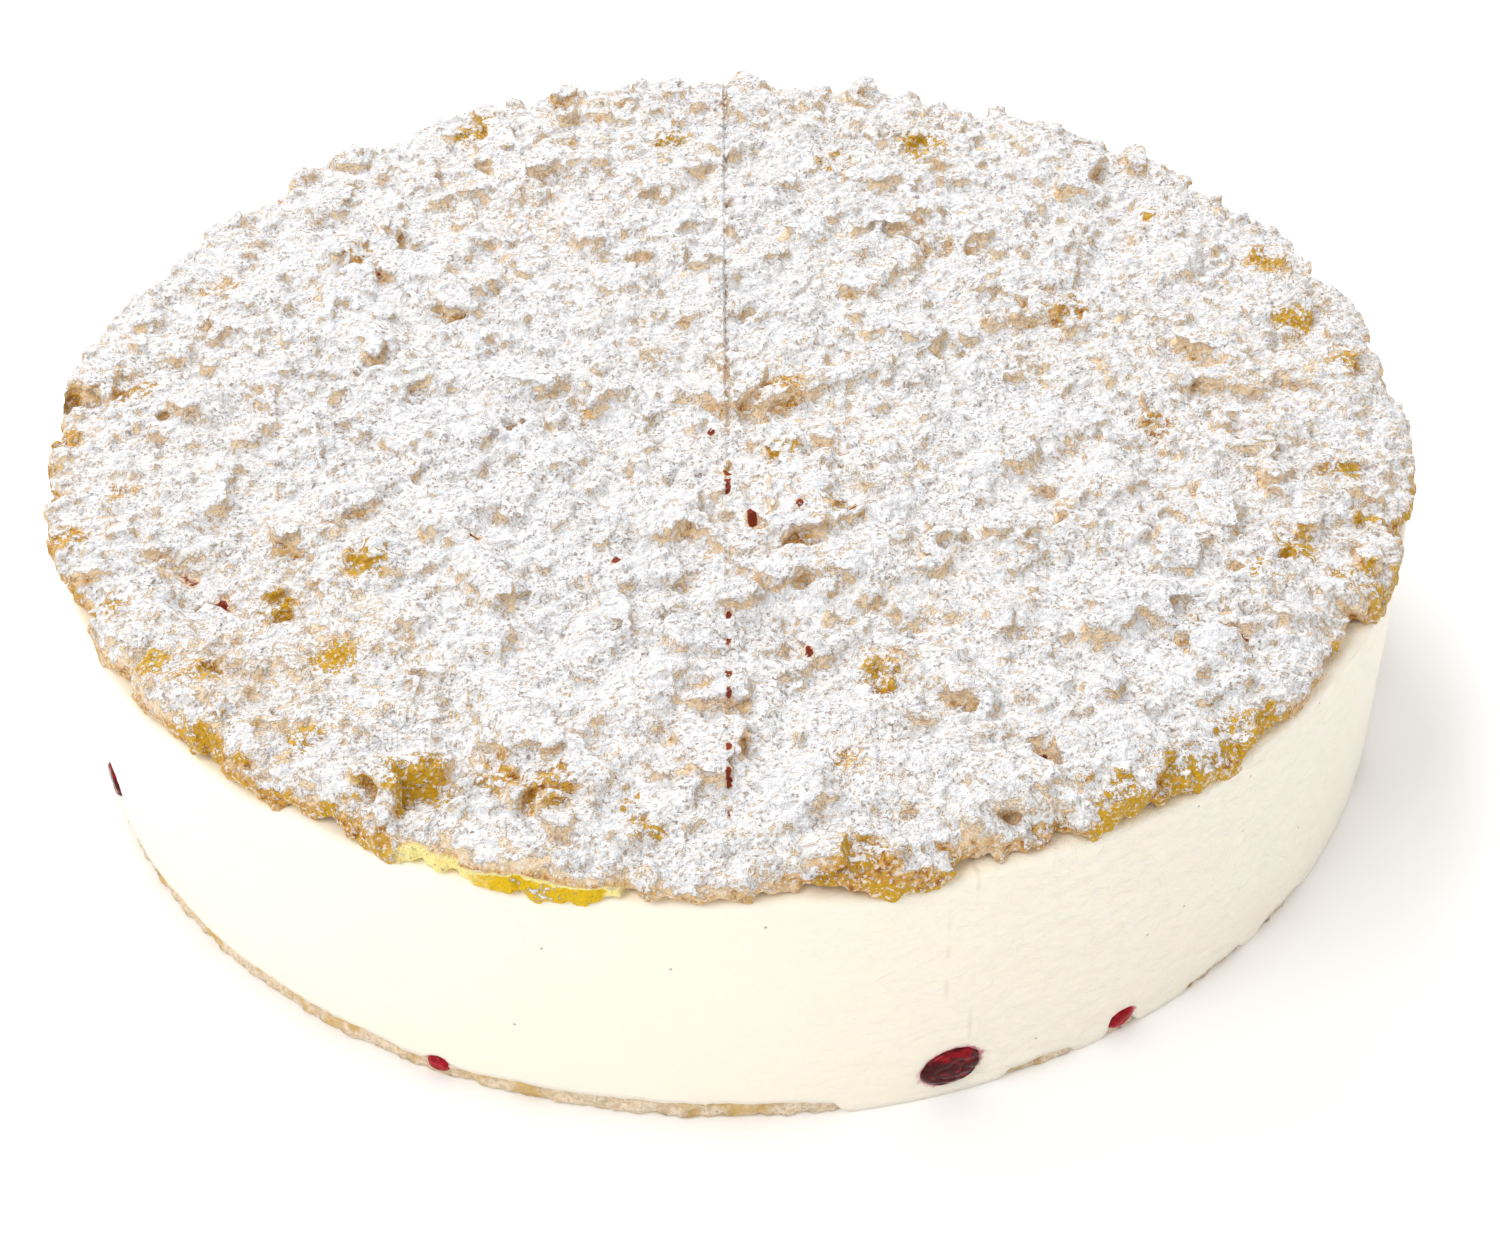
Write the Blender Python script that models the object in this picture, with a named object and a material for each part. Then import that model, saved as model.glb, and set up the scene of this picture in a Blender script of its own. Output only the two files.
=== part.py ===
"""A flaky cream torte: a thin baked base, a tall disc of set cream with cherries at its wall,
and a layer of broken baked flakes on top with one straight knife cut across it.

The torte is one body of layers that lie on each other. Lengths are in metres, +Z is up and the
origin is the centre of the underside. Angles are counted from the front, -Y, towards +X.
"""

import math
import random

import bmesh
import bpy
from mathutils import Matrix, Vector, noise

MM = 0.001
DEGREE = math.radians(1.0)

# Driving dimensions
TORTE_RADIUS = 140.0 * MM
CREAM_TOP = 57.0 * MM
BASE_HEIGHT = 5.0 * MM
LAYER_GAP = 0.3 * MM
POCKET_PLAY = 0.15 * MM
SEGMENTS = 84
CORE_SEGMENTS = 54

# Distances from the axis at which a layer's flat face is divided, as shares of the radius
BASE_FACE_EDGES = (0.95, 0.90)
CREAM_FACE_EDGE = 0.93
MIDDLE_EDGE = 0.04

# The cream: a moulded wall that waves a little, with a soft upper edge
WALL_WAVE = 0.35 * MM
WAVES_ROUND = 3.0
WAVES_UP = 60.0
WALL_FOOT = 0.5 * MM
WALL_MIDDLE = 27.0 * MM
CREAM_EDGE_ROUNDING = 1.4 * MM
CREAM_CHIP = 0.8 * MM
CHIPS_ROUND = 9.0
PRESSED_SHARE = 0.75

# The flake layer
FLAKE_CORE_HEIGHT = 5.2 * MM
FLAKE_UNEVENNESS = 1.3 * MM
SWELLS_ACROSS = 3.4
FLAKE_REACH = 2.2 * MM
REACHES_ROUND = 5.0
CORE_INSET = 3.0 * MM
CORE_FOOT_INSET = 1.0 * MM
CORE_FOOT_SINK = 2.0 * MM
CORE_SIDE_SHARE = 0.55
CORE_EDGES = (0.975, 0.9, 0.79, 0.66, 0.52, 0.37, 0.2, 0.05)
FIELD_SHARE = 0.90
FLAKE_COUNT = 112
RIM_FLAKE_COUNT = 38
LONGEST_FLAKE = 33.0 * MM
SHORTEST_FLAKE = 18.0 * MM
NARROWEST_FLAKE = 10.0 * MM
WIDEST_RIM_FLAKE = 15.0 * MM
THICKEST_FLAKE = 8.5 * MM
THINNEST_FLAKE = 6.0 * MM
FLAKE_BREADTHS = (0.42, 0.72)
SLAB_SHARE = 0.4
SLAB_SIDES = (5, 6, 7)
SLAB_TOP_RADII = (0.30, 0.40)
CORNER_PUSH = 0.09
FIELD_STRAY = 3.5
FIELD_SINK = 1.6
FIELD_TILT = 0.22
RIM_STRAY = 0.3
RIM_LIFTS = (-0.3, 0.6)
RIM_TILT = 0.12
RIM_TILT_STRAY = 0.08
RIM_TURN_STRAY = 0.18
DROOP_TILT = 45.0
DROOP_SINK = 0.62
DROOP_THICKENING = 0.5
RIM_FLAKE_LIFT = 0.42
RIM_FLAKE_INSET = 0.46

# The knife cut
KNIFE_X = -0.7 * MM
KNIFE_WIDTH = 1.1 * MM
KNIFE_POINT_SHARE = 0.25
KNIFE_FLOOR = CREAM_TOP + 3.0 * MM
BLADE_HEIGHT = 30.0 * MM
BLADE_LENGTH = 2.4 * TORTE_RADIUS
SEED = 28

# Stretches of the rim, each as angle, half width in degrees, and depth or height
RIM_DROOPS = (
    (-52.0, 6.0, 2.0 * MM),
    (-40.0, 7.0, 4.6 * MM),
    (-28.0, 4.5, 4.2 * MM),
    (-16.0, 8.5, 3.2 * MM),
    (11.0, 6.5, 3.2 * MM),
    (35.0, 10.0, 2.8 * MM),
    (76.0, 9.0, 2.4 * MM),
    (124.0, 8.0, 2.6 * MM),
    (172.0, 10.0, 2.2 * MM),
    (-78.0, 9.0, 2.8 * MM),
    (-127.0, 9.0, 2.6 * MM),
)
RIM_RECESSES = (
    (20.0, 4.0, 4.5 * MM),
    (54.0, 9.0, 4.5 * MM),
    (95.0, 6.0, 4.0 * MM),
    (145.0, 6.0, 4.5 * MM),
    (-145.0, 6.0, 4.5 * MM),
    (-112.0, 6.0, 4.0 * MM),
)

# The base's rim: low where the cream was smeared down over it, on the right and round the berry
SMEARED_FROM = 4.0
SMEARED_TO = 175.0
SMEARED_RAMPS = (6.0, 12.0)
SMEARED_HEIGHT = 2.3 * MM
BAND_HEIGHT = BASE_HEIGHT - 0.3 * MM
LOWEST_BAND = 1.2 * MM
BERRY_GAP = (-23.5, 3.5, 2.4 * MM)
BASE_RAGGEDNESS = 0.7 * MM
RAGS_ROUND = 11.0
BASE_INSET = 0.9 * MM
BASE_WAVE = 0.8 * MM
BASE_WAVES_ROUND = 14.0
BASE_BELLY_SHARE = 0.45
BASE_FOOT_INSET = 0.6 * MM
BASE_TOP_INSET = 0.4 * MM
CUTTER_BEYOND = 3.0 * MM
CUTTER_BELOW = 2.0 * MM

# Broad forms of the flake layer: angle, distance as a share of the radius, half length in
# degrees, half width as a share of the radius, and height
BROAD_FORMS = (
    (-56.0, 0.88, 24.0, 0.09, 2.4 * MM),
    (-58.0, 0.74, 17.0, 0.08, -3.0 * MM),
    (-26.0, 0.86, 6.0, 0.07, -2.2 * MM),
    (10.0, 0.80, 16.0, 0.10, 1.2 * MM),
    (48.0, 0.78, 22.0, 0.12, 1.3 * MM),
    (-105.0, 0.70, 30.0, 0.18, 1.4 * MM),
    (0.0, 0.10, 180.0, 0.14, -1.6 * MM),
)

# Berries at the wall: name, angle, height of the middle, then half the width, height and depth,
# and the turn of the long axis in degrees
BERRIES = (
    ("cherry_front", 16.0, 7.3 * MM, 6.1 * MM, 4.6 * MM, 5.6 * MM, 14.0),
    ("cherry_left", -65.5, 10.8 * MM, 4.4 * MM, 3.3 * MM, 4.4 * MM, -10.0),
    ("berry_left", -23.5, 3.1 * MM, 2.5 * MM, 1.9 * MM, 2.4 * MM, -8.0),
    ("berry_right", 31.0, 3.3 * MM, 3.1 * MM, 1.7 * MM, 2.6 * MM, 20.0),
)
BERRY_SINK = 1.2 * MM
BERRY_FACE = 0.25 * MM
BERRY_CROWN = 0.12

# Edges sharper than this, in degrees, are shaded as edges
SHARP_LAYER = 40.0
SHARP_FLAKE = 35.0


def polar(radius, angle, height):
    """The point at a distance from the axis, an angle from the front and a height."""
    return Vector((radius * math.sin(angle), -radius * math.cos(angle), height))


def angle_of(point):
    return math.atan2(point.x, -point.y)


def apart(angle, degrees):
    """How far an angle is from one given in degrees, the short way round, in degrees."""
    return abs((angle / DEGREE - degrees + 180.0) % 360.0 - 180.0)


def bump(distance, half_width):
    """A smooth hump: 1 at distance 0, 0 from the half width on."""
    share = min(abs(distance) / half_width, 1.0)
    return 0.5 + 0.5 * math.cos(math.pi * share)


def rim_feature(angle, stretches):
    """The depth that the named stretches of the rim have at an angle."""
    return max(depth * bump(apart(angle, middle), half) for middle, half, depth in stretches)


def roughness(angle, pitch, seed):
    """Noise from -1 to 1 that closes round the rim; pitch is bumps for each radius."""
    return noise.noise(Vector((pitch * math.sin(angle), pitch * math.cos(angle), seed)))


def wall_radius(angle, height):
    """The moulded wall of the cream, which waves by a few tenths of a millimetre."""
    return TORTE_RADIUS + WALL_WAVE * roughness(angle, WAVES_ROUND, WAVES_UP * height)


def base_rim_height(angle):
    """The baked base shows as a band on the left and as a low line on the right."""
    degrees = (angle / DEGREE) % 360.0
    smeared = min(max((degrees - SMEARED_FROM) / SMEARED_RAMPS[0], 0.0), 1.0)
    smeared *= min(max((SMEARED_TO - degrees) / SMEARED_RAMPS[1], 0.0), 1.0)
    height = BAND_HEIGHT + (SMEARED_HEIGHT - BAND_HEIGHT) * smeared
    height -= rim_feature(angle, (BERRY_GAP,)) * (1.0 - smeared)
    return max(height + BASE_RAGGEDNESS * roughness(angle, RAGS_ROUND, 4.0), LOWEST_BAND)


def flake_edge(angle):
    """How far the flakes reach from the axis: over the cream's edge, or short of it."""
    reach = TORTE_RADIUS + 0.6 * FLAKE_REACH * (1.0 + roughness(angle, REACHES_ROUND, 9.0))
    return reach - rim_feature(angle, RIM_RECESSES)


def flake_height(angle, radius):
    """The mean top of the flake layer above the cream, with its broad ridges and hollows."""
    share = radius / TORTE_RADIUS
    place = Vector((share * math.sin(angle), -share * math.cos(angle), 0.0))
    height = FLAKE_CORE_HEIGHT + FLAKE_UNEVENNESS * noise.noise(place * SWELLS_ACROSS)
    for degrees, middle, half_length, half_width, rise in BROAD_FORMS:
        height += rise * bump(apart(angle, degrees), half_length) * bump(share - middle, half_width)
    return height


def layered_disc(rings, segments=SEGMENTS):
    """A closed disc, extruded ring by ring. A ring is a function from angle to radius, height."""
    mesh = bmesh.new()
    verts = bmesh.ops.create_circle(mesh, cap_ends=True, segments=segments, radius=1.0)["verts"]
    cap = list(mesh.faces)
    for step, ring in enumerate(rings):
        if step:
            old_cap = cap
            made = bmesh.ops.extrude_face_region(mesh, geom=old_cap)["geom"]
            cap = [item for item in made if isinstance(item, bmesh.types.BMFace)]
            verts = [item for item in made if isinstance(item, bmesh.types.BMVert)]
            if step > 1:
                bmesh.ops.delete(mesh, geom=old_cap, context="FACES_ONLY")
        for vert in verts:
            angle = angle_of(vert.co)
            radius, height = ring(angle)
            vert.co = polar(radius, angle, height)
    bmesh.ops.poke(mesh, faces=cap)
    bmesh.ops.recalc_face_normals(mesh, faces=mesh.faces)
    # Twisted quads of a layer and of its room split alike, so the gap stays even
    bmesh.ops.triangulate(mesh, faces=mesh.faces, quad_method="FIXED")
    return mesh


def base_top_rings(raised=0.0):
    """The base's upper side, from under the cream's edge to the middle."""
    return [
        lambda angle: (BASE_FACE_EDGES[0] * TORTE_RADIUS, base_rim_height(angle) + raised),
        lambda angle: (BASE_FACE_EDGES[1] * TORTE_RADIUS, BASE_HEIGHT + raised),
        lambda angle: (MIDDLE_EDGE * TORTE_RADIUS, BASE_HEIGHT + raised),
    ]


def base_rings():
    """The base: flat below, with a ragged rim whose top is low where cream covers it."""
    def reach(angle):
        return TORTE_RADIUS - BASE_INSET + BASE_WAVE * roughness(angle, BASE_WAVES_ROUND, 1.0)

    return [
        lambda angle: (reach(angle) - BASE_FOOT_INSET, 0.0),
        lambda angle: (reach(angle), BASE_BELLY_SHARE * base_rim_height(angle)),
        lambda angle: (reach(angle) - BASE_TOP_INSET, base_rim_height(angle)),
    ] + base_top_rings()


def base_room_rings():
    """What the cream leaves free above the base, out past the wall."""
    beyond = TORTE_RADIUS + CUTTER_BEYOND
    return [
        lambda angle: (beyond, -CUTTER_BELOW),
        lambda angle: (beyond, base_rim_height(angle) + LAYER_GAP),
    ] + base_top_rings(raised=LAYER_GAP)


def cream_edge_drop(angle):
    """The cream's upper edge is pressed down where flakes droop over it, and chipped between."""
    pressed = PRESSED_SHARE * rim_feature(angle, RIM_DROOPS)
    return pressed + CREAM_CHIP * (0.5 + 0.5 * roughness(angle, CHIPS_ROUND, 3.0))


def cream_rings(grow=0.0):
    """The cream, up its wall and over the top. Its underside is cut to the base afterwards.

    With grow it is the room that the flakes leave free round the cream.
    """
    rounding = CREAM_EDGE_ROUNDING

    def wall(height):
        def ring(angle):
            return wall_radius(angle, height) + grow, height
        return ring

    def edge(back, down):
        def ring(angle):
            height = CREAM_TOP - cream_edge_drop(angle)
            return wall_radius(angle, CREAM_TOP) + grow - back, height - down + grow
        return ring

    return [
        wall(WALL_FOOT),
        wall(WALL_MIDDLE),
        edge(0.0, rounding),
        edge(0.45 * rounding, 0.35 * rounding),
        edge(1.6 * rounding, 0.0),
        lambda angle: (CREAM_FACE_EDGE * TORTE_RADIUS, CREAM_TOP + grow),
        lambda angle: (MIDDLE_EDGE * TORTE_RADIUS, CREAM_TOP + grow),
    ]


def core_rings():
    """The packed middle of the flake layer, which the flakes are fused to."""
    def edge(angle):
        return flake_edge(angle) - CORE_INSET

    def top(share):
        def ring(angle):
            radius = share * edge(angle)
            return radius, CREAM_TOP + flake_height(angle, radius)
        return ring

    def side(angle):
        return edge(angle), CREAM_TOP + CORE_SIDE_SHARE * flake_height(angle, edge(angle))

    foot_height = CREAM_TOP - CORE_FOOT_SINK
    foot_and_side = [lambda angle: (edge(angle) - CORE_FOOT_INSET, foot_height), side]
    return foot_and_side + [top(share) for share in CORE_EDGES]


def slab_flake(draw):
    """A torn slab of baked flake: five to seven sides, a smaller top and uneven corners."""
    mesh = bmesh.new()
    bmesh.ops.create_cone(
        mesh, cap_ends=True, segments=draw.choice(SLAB_SIDES), radius1=0.5,
        radius2=draw.uniform(*SLAB_TOP_RADII), depth=1.0,
    )
    return mesh


def lump_flake():
    """A rounder crumb of flake."""
    mesh = bmesh.new()
    bmesh.ops.create_icosphere(mesh, subdivisions=1, radius=0.5)
    return mesh


def make_flake(draw, size, place, tilt, turn):
    """One flake at its real size, its corners moved a little by the draw."""
    mesh = slab_flake(draw) if draw.random() < SLAB_SHARE else lump_flake()
    for vert in mesh.verts:
        vert.co += Vector([draw.uniform(-CORNER_PUSH, CORNER_PUSH) for _ in range(3)])
    stretch = Matrix.Diagonal((*size, 1.0))
    pose = Matrix.Translation(place) @ Matrix.Rotation(turn, 4, "Z") @ tilt @ stretch
    bmesh.ops.transform(mesh, matrix=pose, verts=mesh.verts)
    bmesh.ops.recalc_face_normals(mesh, faces=mesh.faces)
    return mesh


def flake_size(draw):
    """Length, width and thickness, from bars to broad pieces."""
    length = draw.uniform(SHORTEST_FLAKE, LONGEST_FLAKE)
    width = length * draw.uniform(*FLAKE_BREADTHS)
    return length, max(width, NARROWEST_FLAKE), draw.uniform(THINNEST_FLAKE, THICKEST_FLAKE)


def field_flakes(draw):
    """Flakes spread evenly over the top by the golden angle, each a little off its place."""
    golden = math.pi * (3.0 - math.sqrt(5.0))
    for number in range(FLAKE_COUNT):
        radius = FIELD_SHARE * TORTE_RADIUS * math.sqrt((number + 0.5) / FLAKE_COUNT)
        angle = number * golden
        place = polar(radius, angle, 0.0)
        stray = [draw.uniform(-FIELD_STRAY, FIELD_STRAY) for _ in range(2)]
        place += Vector((*stray, 0.0)) * MM
        angle, radius = angle_of(place), place.length
        place.z = CREAM_TOP + flake_height(angle, radius) - draw.uniform(0.0, FIELD_SINK) * MM
        tilt = Matrix.Rotation(draw.uniform(-FIELD_TILT, FIELD_TILT), 4, "X")
        tilt = tilt @ Matrix.Rotation(draw.uniform(-FIELD_TILT, FIELD_TILT), 4, "Y")
        yield make_flake(draw, flake_size(draw), place, tilt, draw.uniform(0.0, math.tau))


def rim_flakes(draw):
    """Flakes along the rim. They lie along it and dip outwards, low where the rim droops."""
    for number in range(RIM_FLAKE_COUNT):
        angle = math.tau * (number + draw.uniform(-RIM_STRAY, RIM_STRAY)) / RIM_FLAKE_COUNT
        length, width, thickness = flake_size(draw)
        length = 0.5 * (length + LONGEST_FLAKE)
        width = min(width, WIDEST_RIM_FLAKE)
        droop = rim_feature(angle, RIM_DROOPS)
        radius = flake_edge(angle) - RIM_FLAKE_INSET * width
        height = CREAM_TOP + RIM_FLAKE_LIFT * thickness - DROOP_SINK * droop
        height += draw.uniform(*RIM_LIFTS) * MM
        dip = RIM_TILT + DROOP_TILT * droop + draw.uniform(-RIM_TILT_STRAY, RIM_TILT_STRAY)
        turn = angle + draw.uniform(-RIM_TURN_STRAY, RIM_TURN_STRAY)
        place = polar(radius, angle, height)
        size = (length, width, thickness + DROOP_THICKENING * droop)
        yield make_flake(draw, size, place, Matrix.Rotation(dip, 4, "X"), turn)


def material(name, colour, roughness_value):
    """A plain Principled material."""
    made = bpy.data.materials.new(name)
    made.use_nodes = True
    shader = made.node_tree.nodes["Principled BSDF"]
    shader.inputs["Base Color"].default_value = (*colour, 1.0)
    shader.inputs["Roughness"].default_value = roughness_value
    shader.inputs["Metallic"].default_value = 0.0
    return made


def add_object(name, mesh, finish=None, collection=None):
    """An object at the origin from a bmesh, which is freed."""
    data = bpy.data.meshes.new(name)
    mesh.to_mesh(data)
    mesh.free()
    made = bpy.data.objects.new(name, data)
    if finish:
        data.materials.append(finish)
    (collection or bpy.context.scene.collection).objects.link(made)
    return made


def apply_modifiers(piece):
    """The piece's mesh becomes what its modifiers make of it."""
    bpy.context.view_layer.update()
    seen = piece.evaluated_get(bpy.context.evaluated_depsgraph_get())
    data = bpy.data.meshes.new_from_object(seen)
    finished = bmesh.new()
    finished.from_mesh(data)
    keep_largest_shell(finished)
    finished.to_mesh(data)
    finished.free()
    piece.modifiers.clear()
    piece.data = data


def keep_largest_shell(mesh):
    """Drops loose scraps and the inner shells of hollows that fusing has sealed."""
    left = set(mesh.verts)
    shells = []
    while left:
        shell, front = set(), [left.pop()]
        while front:
            vert = front.pop()
            shell.add(vert)
            linked = [edge.other_vert(vert) for edge in vert.link_edges]
            fresh = [other for other in linked if other in left]
            left.difference_update(fresh)
            front.extend(fresh)
        shells.append(shell)
    largest = max(shells, key=len)
    scraps = [vert for shell in shells if shell is not largest for vert in shell]
    bmesh.ops.delete(mesh, geom=scraps, context="VERTS")


def fuse(piece, name, pieces):
    """Fuses a piece with all of a collection in one union, and removes the collection."""
    step = piece.modifiers.new(name, "BOOLEAN")
    step.operation = "UNION"
    step.solver = "MANIFOLD"
    step.operand_type = "COLLECTION"
    step.collection = pieces
    apply_modifiers(piece)
    for left_over in list(pieces.objects):
        bpy.data.objects.remove(left_over, do_unlink=True)
    bpy.data.collections.remove(pieces)


def cut(piece, name, cutter_mesh):
    """Cuts the room that a closed mesh takes out of a piece."""
    cutter = add_object(name, cutter_mesh)
    cutter.hide_render = True
    cutter.display_type = "WIRE"
    step = piece.modifiers.new(name, "BOOLEAN")
    step.operation = "DIFFERENCE"
    step.solver = "MANIFOLD"
    step.object = cutter
    apply_modifiers(piece)
    bpy.data.objects.remove(cutter, do_unlink=True)


def knife_blade():
    """A long wedge, point down, that reaches from the knife cut's floor to above the flakes."""
    mesh = bmesh.new()
    bmesh.ops.create_cube(mesh, size=1.0)
    middle = KNIFE_FLOOR + 0.5 * BLADE_HEIGHT
    stretch = Matrix.Diagonal((KNIFE_WIDTH, BLADE_LENGTH, BLADE_HEIGHT, 1.0))
    place = Matrix.Translation((KNIFE_X, 0.0, middle))
    bmesh.ops.transform(mesh, matrix=place @ stretch, verts=mesh.verts)
    for vert in mesh.verts:
        if vert.co.z < middle:
            vert.co.x = KNIFE_X + KNIFE_POINT_SHARE * (vert.co.x - KNIFE_X)
    return mesh


def berry_mesh(berry, grow=0.0):
    """A berry pressed against the mould: an egg shape whose outer face lies flush in the wall."""
    degrees, middle, half_width, half_height, half_depth, turn = berry[1:]
    mesh = bmesh.new()
    bmesh.ops.create_icosphere(mesh, subdivisions=2, radius=1.0)
    size = (half_width + grow, half_depth + grow, half_height + grow)
    angle = degrees * DEGREE
    pose = Matrix.Translation(polar(TORTE_RADIUS - BERRY_SINK, angle, middle))
    pose = pose @ Matrix.Rotation(angle, 4, "Z") @ Matrix.Rotation(-turn * DEGREE, 4, "Y")
    bmesh.ops.transform(mesh, matrix=pose @ Matrix.Diagonal((*size, 1.0)), verts=mesh.verts)
    if not grow:
        flatten_to_wall(mesh)
    return mesh


def flatten_to_wall(mesh):
    """Points beyond the wall move in to it, keeping a faint crown."""
    limit = TORTE_RADIUS + BERRY_FACE
    for vert in mesh.verts:
        reach = math.hypot(vert.co.x, vert.co.y)
        if reach > limit:
            share = (limit + BERRY_CROWN * (reach - limit)) / reach
            vert.co.x *= share
            vert.co.y *= share


def build_flake_layer(finish):
    """Core and flakes fused in one union, then cleared of the cream's room and cut."""
    draw = random.Random(SEED)
    flakes = bpy.data.collections.new("flakes to fuse")
    bpy.context.scene.collection.children.link(flakes)
    for number, mesh in enumerate(list(field_flakes(draw)) + list(rim_flakes(draw))):
        add_object(f"flake {number}", mesh, collection=flakes)
    layer = add_object("flake_layer", layered_disc(core_rings(), CORE_SEGMENTS), finish)
    fuse(layer, "flakes", flakes)
    cut(layer, "room for the cream", layered_disc(cream_rings(grow=LAYER_GAP)))
    cut(layer, "knife", knife_blade())
    return layer


def build_berries(finishes):
    """Each berry is its own piece; the pockets that hold them are cut from base and cream."""
    for berry in BERRIES:
        finish = finishes["cherry" if berry[0].startswith("cherry") else "berry"]
        piece = add_object(berry[0], berry_mesh(berry), finish)
        piece.data.shade_smooth()


def cut_pockets(layer):
    """Room for the berries, a gap wider than they are."""
    for berry in BERRIES:
        cut(layer, "berry pocket", berry_mesh(berry, grow=LAYER_GAP + POCKET_PLAY))


def shade(piece, sharp_degrees):
    piece.data.shade_smooth()
    piece.data.set_sharp_from_angle(angle=sharp_degrees * DEGREE)


def build():
    for left_over in list(bpy.data.objects):
        bpy.data.objects.remove(left_over, do_unlink=True)
    finishes = {
        "base": material("baked base", (0.68, 0.50, 0.30), 0.75),
        "cream": material("set cream", (0.93, 0.87, 0.72), 0.50),
        "flakes": material("sugared flakes", (0.90, 0.85, 0.75), 0.85),
        "cherry": material("dark cherry", (0.10, 0.010, 0.008), 0.20),
        "berry": material("red berry", (0.38, 0.015, 0.030), 0.25),
    }
    base = add_object("base", layered_disc(base_rings()), finishes["base"])
    cream = add_object("cream", layered_disc(cream_rings()), finishes["cream"])
    cut(cream, "room for the base", layered_disc(base_room_rings()))
    cut_pockets(base)
    cut_pockets(cream)
    layer = build_flake_layer(finishes["flakes"])
    build_berries(finishes)
    shade(base, SHARP_LAYER)
    shade(cream, SHARP_LAYER)
    shade(layer, SHARP_FLAKE)


build()
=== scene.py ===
# %% [markdown]
# # A flaky cream torte
# A whole torte, 28 cm across: a thin baked base, a tall disc of set cream with cherries pressed
# against its wall, and a rubble of baked flakes under icing sugar. The solids of the frame give
# every place and size. Each is replaced by a finer piece of the same form, as crumbs, sugar and
# smears are far smaller than the solids' faces.

# %% Load the frame
import math
import random

import bmesh
import bpy
import numpy as np
from mathutils import Matrix, Vector, noise
from mathutils.bvhtree import BVHTree


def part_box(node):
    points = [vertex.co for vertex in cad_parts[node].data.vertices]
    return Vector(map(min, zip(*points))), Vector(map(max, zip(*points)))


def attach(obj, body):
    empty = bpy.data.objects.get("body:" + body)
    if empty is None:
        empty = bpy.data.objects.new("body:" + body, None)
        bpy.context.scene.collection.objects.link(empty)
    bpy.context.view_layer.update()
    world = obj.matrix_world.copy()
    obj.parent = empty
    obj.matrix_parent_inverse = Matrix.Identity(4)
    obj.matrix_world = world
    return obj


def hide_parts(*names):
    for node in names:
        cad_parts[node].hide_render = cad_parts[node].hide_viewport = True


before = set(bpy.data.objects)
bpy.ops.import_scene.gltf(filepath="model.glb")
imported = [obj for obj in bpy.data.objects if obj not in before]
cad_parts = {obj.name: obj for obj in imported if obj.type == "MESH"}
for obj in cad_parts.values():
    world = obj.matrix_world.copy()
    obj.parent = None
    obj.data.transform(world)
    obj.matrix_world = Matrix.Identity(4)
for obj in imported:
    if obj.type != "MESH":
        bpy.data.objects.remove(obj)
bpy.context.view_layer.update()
scene = bpy.context.scene

MM = 0.001
DEGREE = math.radians(1)
RADIUS = 140 * MM
CREAM_TOP = 57 * MM
KNIFE_X = -0.7 * MM

flakes_low, flakes_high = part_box("flake_layer")


def link(name, data):
    """An object in the scene, at the origin."""
    made = bpy.data.objects.new(name, data)
    scene.collection.objects.link(made)
    return made


def facing(direction):
    """The turn that points Z along a direction."""
    return direction.to_track_quat("Z", "Y").to_matrix().to_4x4()


# %% [markdown]
# ## The view
# The torte is seen from the front, 40 degrees above the table. A camera's place could be found by
# trial, but the ellipses of a round cake's two edges fix it: their flatness gives the elevation,
# and how much larger the near half is gives the distance.

# %% Camera
CAMERA_TARGET = Vector((3.33, 0, 1.95)) * MM
CAMERA_DISTANCE = 560 * MM
CAMERA_ELEVATION = 39.92 * DEGREE
CAMERA_ROLL = -0.92 * DEGREE
LENS = 59.68


def add_camera():
    """A camera that looks along +Y and down."""
    lens = bpy.data.cameras.new("camera")
    lens.lens = LENS
    lens.clip_start = 10 * MM
    camera = link("camera", lens)
    pose = Matrix.Rotation(math.pi / 2 - CAMERA_ELEVATION, 4, "X")
    pose = pose @ Matrix.Rotation(CAMERA_ROLL, 4, "Z")
    back = pose.to_3x3() @ Vector((0, 0, CAMERA_DISTANCE))
    camera.matrix_world = Matrix.Translation(CAMERA_TARGET + back) @ pose
    scene.camera = camera
    return camera


camera = add_camera()
print("camera at", camera.matrix_world.translation)

# %% [markdown]
# ## The light
# Icing sugar and cream are nearly white, so the light is soft and bright: a white room gives most
# of it, and two large lamps, from the front left and from behind, add the gentle shading that shows
# the relief. The standard view keeps whites white and the gold saturated.

# %% Lamps and room
ROOM_LIGHT = 0.81
KEY_POWER = 5.7
LAMP_SIZE = 0.55
KEY_PLACE = Vector((-0.62, -0.52, 1.05))
BACK_POWER = 8.5
BACK_PLACE = Vector((-0.25, 0.75, 0.95))
WARM_WHITE = (1, 0.985, 0.96)
COOL_WHITE = (0.95, 0.97, 1)


def add_lamp(name, place, power, tint):
    """A square softbox that faces the torte."""
    lamp = bpy.data.lights.new(name, "AREA")
    lamp.energy = power
    lamp.size = LAMP_SIZE
    lamp.color = tint
    link(name, lamp).matrix_world = Matrix.Translation(place) @ facing(place)


def add_room():
    world = bpy.data.worlds.new("room")
    world.use_nodes = True
    background = world.node_tree.nodes["Background"]
    background.inputs["Color"].default_value = (1, 1, 1, 1)
    background.inputs["Strength"].default_value = ROOM_LIGHT
    scene.world = world


add_room()
add_lamp("key", KEY_PLACE, KEY_POWER, WARM_WHITE)
add_lamp("back", BACK_PLACE, BACK_POWER, COOL_WHITE)
scene.view_settings.view_transform = "Standard"
scene.view_settings.look = "None"
print("room", ROOM_LIGHT, "key", KEY_POWER, "back", BACK_POWER)

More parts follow.
